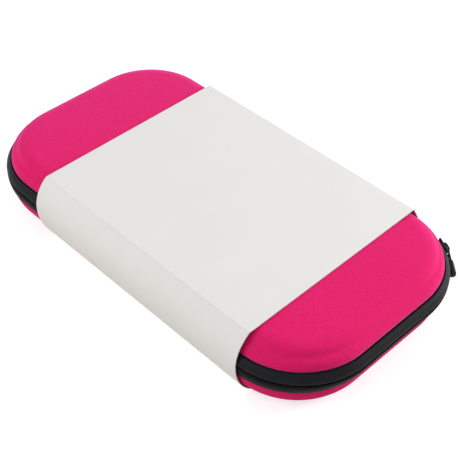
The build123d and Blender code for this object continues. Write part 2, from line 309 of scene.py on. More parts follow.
def weave_group():
    """Threads crossing over and under: a height for bump, and a painted shading for colour that is
    lighter on the threads' crowns and darker where they dip under.
    """
    group, given, result = new_group(
        "woven threads",
        [("Vector", "NodeSocketVector", None), ("Pitch", "NodeSocketFloat", 0.6 * MM)],
        [("Height", "NodeSocketFloat"), ("Tone", "NodeSocketFloat")],
    )
    parts = group.nodes.new("ShaderNodeSeparateXYZ")
    group.links.new(given.outputs["Vector"], parts.inputs[0])
    rate = math_node(group, "DIVIDE", pi, given.outputs["Pitch"])
    across = math_node(group, "ADD", parts.outputs["X"], parts.outputs["Z"])
    along = math_node(group, "ADD", parts.outputs["Y"], parts.outputs["Z"])
    warp = math_node(group, "SINE", math_node(group, "MULTIPLY", across, rate))
    weft = math_node(group, "SINE", math_node(group, "MULTIPLY", along, rate))
    crossing = math_node(group, "MULTIPLY", warp, weft)
    height = math_node(group, "MULTIPLY_ADD", crossing, 0.5, 0.5)
    group.links.new(height, result.inputs["Height"])
    # painted light and shade: follows the height, darker in the weave's dips
    group.links.new(math_node(group, "POWER", height, 0.5), result.inputs["Tone"])
    return group


def ribs_group():
    """Fine parallel cords across a tape: a height for bump."""
    group, given, result = new_group(
        "fine ribs",
        [("Vector", "NodeSocketVector", None), ("Pitch", "NodeSocketFloat", 0.9 * MM)],
        [("Height", "NodeSocketFloat")],
    )
    parts = group.nodes.new("ShaderNodeSeparateXYZ")
    group.links.new(given.outputs["Vector"], parts.inputs[0])
    rate = math_node(group, "DIVIDE", 2 * pi, given.outputs["Pitch"])
    wave = math_node(group, "SINE", math_node(group, "MULTIPLY", parts.outputs["X"], rate))
    group.links.new(math_node(group, "MULTIPLY_ADD", wave, 0.5, 0.5), result.inputs["Height"])
    return group


def mottle_group():
    """Soft uneven patches and fine grain, as a mask around one half."""
    group, given, result = new_group(
        "soft mottle",
        [
            ("Vector", "NodeSocketVector", None),
            ("Patch", "NodeSocketFloat", 4 * MM),
            ("Grain", "NodeSocketFloat", 0.8 * MM),
        ],
        [("Patches", "NodeSocketFloat"), ("Grain", "NodeSocketFloat")],
    )
    octaves = 3
    for size, output in (("Patch", "Patches"), ("Grain", "Grain")):
        noise = group.nodes.new("ShaderNodeTexNoise")
        noise.inputs["Detail"].default_value = octaves
        group.links.new(given.outputs["Vector"], noise.inputs["Vector"])
        scale = math_node(group, "DIVIDE", 1.0, given.outputs[size])
        group.links.new(scale, noise.inputs["Scale"])
        spread = map_range(group, noise.outputs["Fac"], From_Min=0.3, From_Max=0.7)
        group.links.new(spread, result.inputs[output])
    return group


def edge_group():
    """A mask of the narrow strips along a surface's sharp edges."""
    group, given, result = new_group(
        "sharp edges",
        [("Width", "NodeSocketFloat", 0.6 * MM)],
        [("Mask", "NodeSocketFloat")],
    )
    gain = 6.0
    geometry = group.nodes.new("ShaderNodeNewGeometry")
    rounded = group.nodes.new("ShaderNodeBevel")
    rounded.samples = 4
    group.links.new(given.outputs["Width"], rounded.inputs["Radius"])
    normals = geometry.outputs["Normal"], rounded.outputs["Normal"]
    turned = math_node(group, "SUBTRACT", 1.0, vector_node(group, "DOT_PRODUCT", *normals))
    group.links.new(math_node(group, "MULTIPLY", turned, gain, clamp=True), result.inputs["Mask"])
    return group


GROUPS = {}


def build_groups():
    """Make each shared effect once."""
    GROUPS["weave"] = weave_group()
    GROUPS["ribs"] = ribs_group()
    GROUPS["mottle"] = mottle_group()
    GROUPS["edges"] = edge_group()


# ---- Materials ----


class Finish:
    """One material under construction."""

    def __init__(self, name):
        self.material = bpy.data.materials.new(name)
        self.material.use_nodes = True
        self.tree = self.material.node_tree
        self.shader = self.tree.nodes["Principled BSDF"]
        self.where = self.tree.nodes.new("ShaderNodeTexCoord")

    def effect(self, group, place=None, **values):
        """Place a shared group, fed by a coordinate, with its own values."""
        node = self.tree.nodes.new("ShaderNodeGroup")
        node.node_tree = GROUPS[group]
        if place:
            self.tree.links.new(self.where.outputs[place], node.inputs["Vector"])
        for label, value in values.items():
            node.inputs[label].default_value = value
        return node

    def blend(self, mask, first, second, kind="MIX"):
        """Mix two colours, each a socket or a plain colour, by a mask or a plain share."""
        node = self.tree.nodes.new("ShaderNodeMix")
        node.data_type = "RGBA"
        node.blend_type = kind
        feed(self.tree, node.inputs["Factor"], mask)
        for label, value in (("A", first), ("B", second)):
            linked = isinstance(value, bpy.types.NodeSocket)
            feed(self.tree, node.inputs[label], value if linked else (*value, 1))
        return node.outputs["Result"]

    def colour(self, socket):
        """Feed the base colour."""
        self.tree.links.new(socket, self.shader.inputs["Base Color"])

    def bump(self, height, distance, before=None):
        """Feed the normal from a height, on top of an earlier bump."""
        node = self.tree.nodes.new("ShaderNodeBump")
        node.inputs["Distance"].default_value = distance
        self.tree.links.new(height, node.inputs["Height"])
        if before:
            self.tree.links.new(before, node.inputs["Normal"])
        self.tree.links.new(node.outputs["Normal"], self.shader.inputs["Normal"])
        return node.outputs["Normal"]

    def rough(self, mask, low, high):
        """Feed the roughness from a mask, between two values."""
        spread = map_range(self.tree, mask, To_Min=low, To_Max=high)
        self.tree.links.new(spread, self.shader.inputs["Roughness"])

    def plain(self, **values):
        """Set the shader's own sockets."""
        for label, value in values.items():
            self.shader.inputs[label.replace("_", " ")].default_value = value


def shade(colour, factor):
    """A colour made lighter or darker."""
    return tuple(min(1.0, channel * factor) for channel in colour)


SHEEN_TINT = (0.95, 0.28, 1.0, 1)  # of the light that grazes the cover's nap
SPECKLE = 0.08  # how much of the grain shows in the cover's colour


def cover_cloth(name, looks, nap):
    """Bright knitted cloth, bonded over foam, with a short nap that catches the light."""
    cloth = Finish(name)
    colour = tuple(looks.cloth_colour)
    mottle = cloth.effect("mottle", "Object", Patch=4.5 * MM, Grain=1.1 * MM)
    weave = cloth.effect("weave", "UV", Pitch=looks.cloth_pitch)
    patches = cloth.blend(mottle.outputs["Patches"], shade(colour, 0.97), shade(colour, 1.03))
    cloth.colour(cloth.blend(SPECKLE, patches, mottle.outputs["Grain"], kind="MULTIPLY"))
    first = cloth.bump(weave.outputs["Height"], distance=0.06 * MM)
    cloth.bump(mottle.outputs["Grain"], distance=0.12 * MM, before=first)
    cloth.rough(mottle.outputs["Patches"], low=0.78, high=0.9)
    cloth.plain(Specular_IOR_Level=0.1)
    cloth.plain(Sheen_Weight=nap, Sheen_Roughness=0.35, Sheen_Tint=SHEEN_TINT)
    return cloth.material


def coated_tape(name, colour, shine):
    """Zipper tape with a rubbery coat, faintly ribbed by the cloth beneath."""
    tape = Finish(name)
    mottle = tape.effect("mottle", "Object", Patch=12 * MM, Grain=1.2 * MM)
    ribs = tape.effect("ribs", "UV", Pitch=1.1 * MM)
    tape.colour(tape.blend(mottle.outputs["Patches"], shade(colour, 0.85), shade(colour, 1.15)))
    first = tape.bump(ribs.outputs["Height"], distance=0.05 * MM)
    tape.bump(mottle.outputs["Grain"], distance=0.04 * MM, before=first)
    tape.rough(mottle.outputs["Patches"], low=0.45, high=0.55)
    tape.plain(Specular_IOR_Level=shine)
    return tape.material


CUT_WIDTH = 2 * MM  # how near the sleeve's two open ends its edges count as cut


def near_sleeve_ends(card):
    """A mask of the card that lies next to the sleeve's two open ends."""
    left, right = (corner[0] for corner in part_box("sleeve_upper"))
    parts = card.tree.nodes.new("ShaderNodeSeparateXYZ")
    card.tree.links.new(card.where.outputs["Object"], parts.inputs[0])
    offset = math_node(card.tree, "SUBTRACT", parts.outputs["X"], (left + right) / 2)
    from_middle = math_node(card.tree, "ABSOLUTE", offset)
    return math_node(card.tree, "GREATER_THAN", from_middle, (right - left) / 2 - CUT_WIDTH)


def coated_card(looks):
    """Matt coated card with a faint fibre in it and darker cut ends: partly the grey board of the
    cut, partly painted shade along them.
    """
    card = Finish("matt card")
    colour = tuple(looks.card_colour)
    mottle = card.effect("mottle", "Object", Patch=30 * MM, Grain=0.6 * MM)
    edges = card.effect("edges", Width=0.4 * MM)
    patches = card.blend(mottle.outputs["Patches"], shade(colour, 0.985), colour)
    # Darkened cut ends: partly the grey board inside the card, partly painted shade where the edge
    # meets the lid.
    cut = math_node(card.tree, "MULTIPLY", edges.outputs["Mask"], near_sleeve_ends(card))
    card.colour(card.blend(cut, patches, shade(colour, 0.4)))
    card.bump(mottle.outputs["Grain"], distance=0.012 * MM)
    card.rough(mottle.outputs["Grain"], low=0.5, high=0.62)
    card.plain(Specular_IOR_Level=0.2)
    return card.material


def black_enamel(looks):
    """Sprayed black enamel on cast zinc, rubbed a little on its edges."""
    enamel = Finish("black enamel")
    colour = tuple(looks.enamel_colour)
    mottle = enamel.effect("mottle", "Object", Patch=4 * MM, Grain=0.4 * MM)
    edges = enamel.effect("edges", Width=0.3 * MM)
    patches = enamel.blend(mottle.outputs["Patches"], shade(colour, 0.8), shade(colour, 1.2))
    enamel.colour(enamel.blend(edges.outputs["Mask"], patches, shade(colour, 3.0)))
    enamel.bump(mottle.outputs["Grain"], distance=0.01 * MM)
    enamel.rough(mottle.outputs["Patches"], low=0.28, high=0.42)
    enamel.plain(Specular_IOR_Level=0.15, Coat_Weight=0.1, Coat_Roughness=0.2)
    return enamel.material


def moulded_teeth(looks):
    """Dark moulded nylon."""
    nylon = Finish("moulded nylon")
    colour = tuple(looks.tape_colour)
    mottle = nylon.effect("mottle", "Object", Patch=3 * MM, Grain=0.5 * MM)
    nylon.colour(nylon.blend(mottle.outputs["Patches"], shade(colour, 0.5), shade(colour, 0.8)))
    nylon.bump(mottle.outputs["Grain"], distance=0.02 * MM)
    nylon.rough(mottle.outputs["Grain"], low=0.5, high=0.65)
    nylon.plain(Specular_IOR_Level=0.1)
    return nylon.material


def dark_textile(name, colour, pitch, nap):
    """A dark woven or knitted textile: lining, binding, net or elastic."""
    cloth = Finish(name)
    mottle = cloth.effect("mottle", "Object", Patch=8 * MM, Grain=1 * MM)
    weave = cloth.effect("weave", "Object", Pitch=pitch)
    # painted light and shade of the weave: lighter on the crowns, darker in the dips
    tone = cloth.blend(weave.outputs["Tone"], shade(colour, 0.6), shade(colour, 1.3))
    cloth.colour(cloth.blend(mottle.outputs["Patches"], tone, colour))
    first = cloth.bump(weave.outputs["Height"], distance=pitch * 0.12)
    cloth.bump(mottle.outputs["Grain"], distance=0.05 * MM, before=first)
    cloth.rough(mottle.outputs["Patches"], low=0.8, high=0.95)
    cloth.plain(Sheen_Weight=nap, Sheen_Roughness=0.5)
    return cloth.material


def foam_skin(looks):
    """The cut face of fine closed-cell foam."""
    foam = Finish("closed-cell foam")
    mottle = foam.effect("mottle", "Object", Patch=3 * MM, Grain=0.5 * MM)
    colour = tuple(looks.lining_colour)
    foam.colour(foam.blend(mottle.outputs["Grain"], shade(colour, 0.8), shade(colour, 1.3)))
    foam.bump(mottle.outputs["Grain"], distance=0.1 * MM)
    foam.rough(mottle.outputs["Grain"], low=0.85, high=0.95)
    return foam.material


def dress(thing, material):
    """Give a piece or a frame node one material."""
    thing.data.materials.clear()
    thing.data.materials.append(material)


MATERIALS = {}


def mix_materials():
    """Make every material from the chosen looks."""
    build_groups()
    looks = bpy.context.scene.hard_case_looks
    lining = tuple(looks.lining_colour)
    tape = tuple(looks.tape_colour)
    MATERIALS["lid cloth"] = cover_cloth("cover cloth", looks, nap=0.8)
    # The base wears the same cloth as the lid; its copy has the sheen turned down so that its
    # underside looks darker: painted shade.
    MATERIALS["base cloth"] = cover_cloth("base cover cloth", looks, nap=0.1)
    MATERIALS["lid tape"] = coated_tape("coated zipper tape", tape, shine=0.09)
    # The base tape is the lid's tape made darker and less shiny: painted shade on the lower tape.
    MATERIALS["base tape"] = coated_tape("base zipper tape", shade(tape, 0.6), shine=0.025)
    MATERIALS["card"] = coated_card(looks)
    MATERIALS["enamel"] = black_enamel(looks)
    MATERIALS["teeth"] = moulded_teeth(looks)
    MATERIALS["foam"] = foam_skin(looks)
    for key, name, tone, pitch, nap in (
        ("lining", "knit lining", 1, 0.7 * MM, 0.35),
        ("binding", "binding tape", 0.7, 0.5 * MM, 0.2),
        ("mesh", "pocket net", 0.8, 1.2 * MM, 0.1),
        ("elastic", "ribbed elastic", 0.6, 1.0 * MM, 0.2),
    ):
        MATERIALS[key] = dark_textile(name, shade(lining, tone), pitch, nap)


# ---- Sizes and colours that a user may change ----


class HardCaseLooks(bpy.types.PropertyGroup):
    """Colours and cloth of the case."""

    cloth_colour: FloatVectorProperty(
        name="Cloth",
        description="Colour of the cover cloth",
        subtype="COLOR",
        default=(0.72, 0.011, 0.130),
        min=0,
        max=1,
    )
    tape_colour: FloatVectorProperty(
        name="Tape",
        description="Colour of the zipper tape",
        subtype="COLOR",
        default=(0.0075, 0.008, 0.0093),
        min=0,
        max=1,
    )
    card_colour: FloatVectorProperty(
        name="Card",
        description="Colour of the card sleeve",
        subtype="COLOR",
        default=(0.72, 0.708, 0.69),
        min=0,
        max=1,
    )
    enamel_colour: FloatVectorProperty(
        name="Enamel",
        description="Colour of the slider and its puller",
        subtype="COLOR",
        default=(0.006, 0.006, 0.007),
        min=0,
        max=1,
    )
    lining_colour: FloatVectorProperty(
        name="Lining",
        description="Colour of the lining, net and bindings",
        subtype="COLOR",
        default=(0.022, 0.022, 0.026),
        min=0,
        max=1,
    )
    cloth_pitch: FloatProperty(
        name="Cloth pitch",
        description="Width of one knitted rib of the cover cloth",
        unit="LENGTH",
        default=0.55 * MM,
        min=0.1 * MM,
        max=3 * MM,
    )


class HardCaseShape(bpy.types.PropertyGroup):
    """Sizes of the soft forms."""

    shoulder_width: FloatProperty(
        name="Shoulder width",
        description="Width of the lid's rounded shoulder, seen from above",
        unit="LENGTH",
        default=13.4 * MM,
        min=2 * MM,
        max=30 * MM,
    )
    shoulder_height: FloatProperty(
        name="Shoulder height",
        description="Height of the lid's rounded shoulder",
        unit="LENGTH",
        default=8.5 * MM,
        min=2 * MM,
        max=16 * MM,
    )
    base_round: FloatProperty(
        name="Base round",
        description="Radius between the base's wall and its underside",
        unit="LENGTH",
        default=17.6 * MM,
        min=2 * MM,
        max=25 * MM,
    )
    press_depth: FloatProperty(
        name="Press line depth",
        description="Depth of the soft valley that the mould leaves along the shoulder",
        unit="LENGTH",
        default=1.6 * MM,
        min=0,
        max=2 * MM,
    )
    press_place: FloatProperty(
        name="Press line place",
        description="Way from the lid's rim up to the soft valley",
        unit="LENGTH",
        default=9.8 * MM,
        min=0,
        max=20 * MM,
    )
    press_width: FloatProperty(
        name="Press line width",
        description="Half width of the soft valley",
        unit="LENGTH",
        default=3.3 * MM,
        min=1 * MM,
        max=8 * MM,
    )
    flare: FloatProperty(
        name="Flare",
        description="How far the lid's rim stands out below the soft valley",
        unit="LENGTH",
        default=1.3 * MM,
        min=0,
        max=3 * MM,
    )
    flare_height: FloatProperty(
        name="Flare height",
        description="Way up the lid's wall over which the flare fades out",
        unit="LENGTH",
        default=6.0 * MM,
        min=1 * MM,
        max=10 * MM,
    )
    tuck: FloatProperty(
        name="Tuck",
        description="How far the lid's very rim turns in behind the tape",
        unit="LENGTH",
        default=0.5 * MM,
        min=0,
        max=1 * MM,
    )
    tuck_height: FloatProperty(
        name="Tuck height",
        description="Way up the lid's wall over which the rim turns in",
        unit="LENGTH",
        default=1.2 * MM,
        min=0.2 * MM,
        max=4 * MM,
    )
    crown: FloatProperty(
        name="Crown",
        description="How much the lid's top rises towards its middle",
        unit="LENGTH",
        default=0.5 * MM,
        min=0,
        max=3 * MM,
    )
    groove_width: FloatProperty(
        name="Groove width",
        description="Gap between the lid's cover and the hem of its tape, half that on the base",
        unit="LENGTH",
        default=1.0 * MM,
        min=0.1 * MM,
        max=1.1 * MM,
    )
    rib_pitch: FloatProperty(
        name="Rib pitch",
        description="Spacing of the fine ribs along the seam",
        unit="LENGTH",
        default=1.2 * MM,
        min=0.5 * MM,
        max=3 * MM,
    )
    net_pitch: FloatProperty(
        name="Net pitch",
        description="Width of one hole of the pocket's net",
        unit="LENGTH",
        default=4.0 * MM,
        min=1 * MM,
        max=10 * MM,
    )
    thread_width: FloatProperty(
        name="Thread width",
        description="Width of the net's knitted threads",
        unit="LENGTH",
        default=0.9 * MM,
        min=0.2 * MM,
        max=2 * MM,
    )
    base_shift: FloatVectorProperty(
        name="Base shift",
        description="How far the base's cover and tape sit out of line with the lid",
        subtype="TRANSLATION",
        unit="LENGTH",
        size=2,
        default=(-1.2 * MM, -0.5 * MM),
    )


class HardCaseStage(bpy.types.PropertyGroup):
    """Light, floor and camera."""

    floor_colour: FloatVectorProperty(
        name="Floor",
        description="Colour of the floor, as the light from it shows",
        subtype="COLOR",
        default=(0.62, 0.575, 0.525),
        min=0,
        max=1,
    )
    dark_side: FloatProperty(
        name="Dark side",
        description="Strength of the light from the right-hand front, where the camera stands",
        default=0.4,
        min=0,
        max=2,
    )
    floor_glow: FloatProperty(
        name="Floor glow",
        description="How much the floor lightens the shadow that the camera sees",
        default=0.61,
        min=0,
        max=1,
    )
    paper_reach: FloatProperty(
        name="Paper reach",
        description="How far out the floor's shading has faded to plain white",
        unit="LENGTH",
        default=1.2,
        min=0.5,
        max=10,
    )
    sky_strength: FloatProperty(
        name="Sky strength",
        description="Strength of the light from all other sides",
        default=0.7,
        min=0,
        max=2,
    )
    key_power: FloatProperty(
        name="Key power",
        description="Power of the large soft lamp above the front left",
        subtype="POWER",
        default=10.8,
        min=0,
        max=100,
    )
    rim_power: FloatProperty(
        name="Rim power",
        description="Power of the small lamp beyond the right-hand back corner",
        subtype="POWER",
        default=9,
        min=0,
        max=50,
    )
    camera_place: FloatVectorProperty(
        name="Camera",
        description="Where the camera stands",
        subtype="TRANSLATION",
        unit="LENGTH",
        default=(0.32883, -0.30873, 0.43567),
    )
    camera_yaw: FloatProperty(
        name="Turn",
        description="Turn of the camera about the upright, from looking along Y",
        subtype="ANGLE",
        default=radians(45.82),
    )
    camera_pitch: FloatProperty(
        name="Tilt",
        description="How far down the camera looks",
        subtype="ANGLE",
        default=radians(43.215),
    )
    camera_lens: FloatProperty(
        name="Lens",
        description="Focal length on a 36 mm sensor",
        default=80.185,
        min=10,
        max=300,
    )


# ---- Covers ----


CLOTH_THICKNESS = 0.6 * MM
COVER_STEP = 1.6 * MM  # between the cover's points along the outline
FLAT_STEPS = 8
MIDDLE_RADIUS = 4 * MM  # corner radius of the flat middle


def cover_surface(name, section):
    """One moulded cover: a section from the rim to the flat, closed by a flat middle."""
    distances = walk(0, PERIMETER, COVER_STEP)[:-1]
    vertices = []
    uvs = []
    lengths = lengths_along(section)
    laid_rim = section[-1][0] + lengths[-1]
    for distance in distances:
        place, outward = outline_at(distance)
        for (out, up), length in zip(section, lengths):
            spot = place + outward * out
            laid = place + outward * (laid_rim - length)
            vertices.append((spot.x, spot.y, SEAM + up))
            uvs.append((laid.x, laid.y))
    rings = len(distances)
    count = len(section)
    faces = quads_between(rings, count, closed_run=True, closed_ring=False)
    faces.append(tuple(ring * count + count - 1 for ring in range(rings)))
    piece = outward_piece(name, vertices, faces, uvs)
    middle = piece.data.polygons[-1]
    if middle.normal.z * section[-1][1] < 0:
        piece.data.flip_normals()
    shell = piece.modifiers.new("cloth thickness", "SOLIDIFY")
    shell.thickness = CLOTH_THICKNESS
    shell.offset = -1
    return piece


def pressed(section, shape):
    """Give the lid's section its flared rim and the soft valley that follows it."""
    result = []
    last = len(section) - 1
    for i, (point, walked) in enumerate(zip(section, lengths_along(section))):
        before = Vector(section[max(i - 1, 0)])
        after = Vector(section[min(i + 1, last)])
        along = (after - before).normalized()
        outward = Vector((along.y, -along.x))
        at_rim = exp(-((walked / shape.tuck_height) ** 2))
        flare = shape.flare * max(0, 1 - walked / shape.flare_height) * (1 - at_rim)
        from_valley = (walked - shape.press_place) / shape.press_width
        valley = shape.press_depth * exp(-(from_valley**2))
        lowered = Vector((0, shape.crown * i / last))
        out = flare - shape.tuck * at_rim - valley
        result.append(tuple(Vector(point) + outward * out - lowered))
    return result


def flat_rings(inset, level, crown):
    """More points of a section across the flat, rising by a slight crown."""
    points = []
    reach = CORNER_RADIUS - inset - MIDDLE_RADIUS
    for i in range(1, FLAT_STEPS + 1):
        share = i / FLAT_STEPS
        points.append((-inset - reach * share, level + crown * (1 - (1 - share) ** 2)))
    return points


def lid_section(shape):
    """The lid's cover from its rim up the wall, over the shoulder and across the flat."""
    wall = inset_of("lid_cover")
    rim, top = levels_of("lid_cover")
    width, height = shape.shoulder_width, shape.shoulder_height
    spring = top - height
    steps = 10
    section = [(-wall, rim + (spring - rim) * i / steps) for i in range(steps)]
    section += arc_points((-wall - width, spring), width, height, start=0, end=90, count=30)
    section = pressed(section, shape)
    return section + flat_rings(wall + width, section[-1][1], shape.crown)


def base_section(shape):
    """The base's cover from its rim down the wall and across its underside."""
    wall = inset_of("base_cover")
    bottom, rim = levels_of("base_cover")
    radius = shape.base_round
    spring = bottom + radius
    steps = 3
    section = [(-wall, rim + (spring - rim) * i / steps) for i in range(steps)]
    section += arc_points((-wall - radius, spring), radius, radius, start=0, end=-90, count=22)
    return section + flat_rings(wall + radius, bottom, 0)


class HARDCASE_OT_covers(bpy.types.Operator):
    """Build the bright cloth covers of the lid and the base"""

    bl_idname = "hardcase.covers"
    bl_label = "Covers"

    def execute(self, context):
        shape = context.scene.hard_case_shape
        lid = cover_surface("lid_cover_cloth", lid_section(shape))
        base = cover_surface("base_cover_cloth", base_section(shape))
        lean_aside(base, shape.base_shift, 0, levels_of("base_cover")[1])
        for piece, body in ((lid, "lid"), (base, "base")):
            dress(piece, MATERIALS[f"{body} cloth"])
            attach(piece, body)
            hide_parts(f"{body}_cover")
        return {"FINISHED"}


# ---- Inner shells ----

FOAM_SQUEEZE = 1.3 * MM  # leaves room for the valley that is pressed into the cover
BINDING_ROUND = 0.25 * MM


class HARDCASE_OT_inner_shells(bpy.types.Operator):
    """Finish the foam shells, linings and edge bindings"""

    bl_idname = "hardcase.inner_shells"
    bl_label = "Inner shells"

    def execute(self, context):
        for side in ("lid", "base"):
            foam = NODES[f"{side}_foam_shell"]
            dress(foam, MATERIALS["foam"])
            squeeze = foam.modifiers.new("squeezed by the cloth", "DISPLACE")
            squeeze.mid_level = 0
            squeeze.strength = -FOAM_SQUEEZE
            dress(NODES[f"{side}_lining"], MATERIALS["lining"])
            dress(NODES[f"{side}_edge_binding"], MATERIALS["binding"])
            bevel(NODES[f"{side}_edge_binding"], BINDING_ROUND)
        return {"FINISHED"}


# ---- Tapes, seam cords and hinge strip ----

TAPE_THICKNESS = 0.9 * MM
TAPE_STEP = 1.2 * MM  # between the tape's points along the outline
TAPE_STEPS = 14  # up the tape's face
TAPE_CROWDING = 1.6  # above 1, more of the face's points lie near the slit
BASE_TAUTNESS = 0.3
HEM_WIDTH = 1.15 * MM  # from the cover's wall to the hem's face
HEM_LEAST = 0.5 * MM  # of that width, whatever the groove takes
HEM_HEIGHT = 1.7 * MM
HEM_RADIUS = 0.45 * MM
HEM_STEPS = 5
HEM_EASE = 0.15 * MM  # by which the hem's back edges are broken
HEM_SLANT = 0.05 * MM
FOOT_EASE = 0.1 * MM
TURN_IN = 0.75 * MM  # how far the tape's lip turns into the slit
TURN_HEIGHT = 1.1 * MM
CORD_RADIUS = 0.32 * MM
CORD_SWELL = 0.4  # of the cord's size, at each rib
CORD_SUNK = 0.55 * MM  # behind the tape's widest line
CORD_LEVEL = 0.45 * MM  # from the slit's edge
CORD_STEPS = 5  # along each rib


def tape_profile(wall, top, slit, groove, tautness):
    """The lid tape's section: from the seam out to a rounded hem, and back along its inner face.

    wall is the inset of the cover's wall, top the hem's level and groove the gap beside the hem.
    tautness is 0 for a tape that bows over the zipper and 1 for one that is drawn straight.
    """
    lean = wall - HEM_WIDTH
    rise = top - slit
    radius = (rise**2 + lean**2) / (2 * lean)
    outer = []
    for i in range(TAPE_STEPS + 1):
        up = (rise - HEM_RADIUS) * (i / TAPE_STEPS) ** TAPE_CROWDING
        turned_in = TURN_IN * max(0, 1 - up / TURN_HEIGHT) ** 2
        bowed = radius - sqrt(radius**2 - up**2)
        drawn = lean * up / rise
        outer.append((-(bowed + (drawn - bowed) * tautness) - turned_in, slit + up))
    face, shoulder = outer[-1]
    for i in range(1, HEM_STEPS + 1):
        angle = radians(90 * i / HEM_STEPS)
        outer.append((face - HEM_RADIUS * (1 - cos(angle)), shoulder + HEM_RADIUS * sin(angle)))
    back = face - max(HEM_WIDTH - groove, HEM_LEAST)
    foot = top - HEM_HEIGHT
    outer.append((back, top - HEM_EASE))
    outer.append((back - HEM_SLANT, foot + HEM_EASE))
    outer.append((-wall, foot + FOOT_EASE))
    outer.append((-wall, foot))
    inner = []
    for i in range(TAPE_STEPS + 1):
        up = (foot - slit) * i / TAPE_STEPS
        inner.append((-(radius - sqrt((radius - TAPE_THICKNESS) ** 2 - up**2)), slit + up))
    return outer + list(reversed(inner))


class HARDCASE_OT_tapes(bpy.types.Operator):
    """Build the two zipper tapes, the fine cords along the seam and the hinge strip"""

    bl_idname = "hardcase.tapes"
    bl_label = "Zipper tapes"

    def execute(self, context):
        shape = context.scene.hard_case_shape
        slit, lid_top = levels_of("lid_zipper_tape")
        base_foot, base_slit = levels_of("base_zipper_tape")
        groove = shape.groove_width
        above = tape_profile(inset_of("lid_cover"), lid_top, slit, groove, 0)
        below = tape_profile(inset_of("base_cover"), -base_foot, slit, groove / 2, BASE_TAUTNESS)
        below = [(out, -up) for out, up in below]
        lean = (shape.base_shift, base_slit, base_foot)
        start, end = zipper_walk()
        distances = walk(start, end, TAPE_STEP)
        for body, profile in (("lid", above), ("base", below)):
            tape = carry(f"{body}_tape_cloth", profile, distances)
            if body == "base":
                lean_aside(tape, *lean)
            dress(tape, MATERIALS[f"{body} tape"])
            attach(tape, body)
            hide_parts(f"{body}_zipper_tape")
        self.seam_cords(shape.rib_pitch, slit, start, end)
        self.hinge_strip(above, below, start, lean)
        return {"FINISHED"}

    def seam_cords(self, pitch, slit, start, end):
        """The corded edge of each tape, where its threads loop over the zipper's coil."""
        distances = walk(start, end, pitch / CORD_STEPS)

        def corded(centre_up):
            def change(distance, out, up):
                swell = 1 + CORD_SWELL * cos(2 * pi * distance / pitch)
                return out * swell - CORD_SUNK, centre_up + (up - centre_up) * swell

            return change

        for body, side in (("lid", 1), ("base", -1)):
            centre_up = side * (slit + CORD_LEVEL)
            centre = (0, centre_up)
            section = arc_points(centre, CORD_RADIUS, CORD_RADIUS, start=0, end=315, count=7)
            cord = carry(f"{body}_seam_cord", section, distances, shape=corded(centre_up))
            dress(cord, MATERIALS["lid tape"])
            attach(cord, body)

    def hinge_strip(self, above, below, start, lean):
        """The strip of coated cloth that bends along the back and joins the two tapes."""
        distances = [d % PERIMETER for d in walk(PERIMETER - start, PERIMETER + start, TAPE_STEP)]
        face = TAPE_STEPS + HEM_STEPS
        outer = list(reversed(above[:face])) + below[1:face]
        section = outer + below[face:-1] + list(reversed(above[face:-1]))
        strip = carry("hinge_strip", section, distances)
        lean_aside(strip, *lean)
        dress(strip, MATERIALS["lid tape"])
        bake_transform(strip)
        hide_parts("hinge_gusset")


# ---- Teeth and stops ----

TOOTH_ROUND = 0.12 * MM


class HARDCASE_OT_teeth(bpy.types.Operator):
    """Finish the zipper's teeth and their stops"""

    bl_idname = "hardcase.teeth"
    bl_label = "Zipper teeth"

    def execute(self, context):
        for node in ("lid_teeth", "base_teeth", "lid_end_stops", "base_end_stops"):
            dress(NODES[node], MATERIALS["teeth"])
            bevel(NODES[node], TOOTH_ROUND, segments=1)
        return {"FINISHED"}


# ---- Slider and puller ----

CAST_ROUND = {"slider_body": 0.2 * MM, "slider_bail": 0.3 * MM, "puller": 0.45 * MM}


class HARDCASE_OT_slider(bpy.types.Operator):
    """Finish the slider, its bail and the puller"""

    bl_idname = "hardcase.slider"
    bl_label = "Slider and puller"

    def execute(self, context):
        for node, width in CAST_ROUND.items():
            dress(NODES[node], MATERIALS["enamel"])
            bevel(NODES[node], width, segments=3)
        return {"FINISHED"}


# ---- Net pocket ----

NET_THICKNESS = 0.35 * MM
EDGE_GAP = 0.02 * MM  # keeps the net's last points off its corner
LEAST_CELL = 0.35  # of a whole cell: smaller ones at the edge are left out
BAND_RIBS = 5
BAND_RIDGE = 0.18  # of the band's thickness, between two ribs
PUCKER = 0.12  # of the band's thickness, at each pucker's edge
PUCKER_PITCH = 3 * MM
PUCKER_STEPS = 6


def inside_limit(inset, y):
    """How far along the case the outline reaches at one place across it, drawn in by an inset."""
    past = abs(y) - CORNER_Y
    if past <= 0:
        return HALF_LENGTH - inset
    return CORNER_X + sqrt(max(0, (CORNER_RADIUS - inset) ** 2 - past**2))


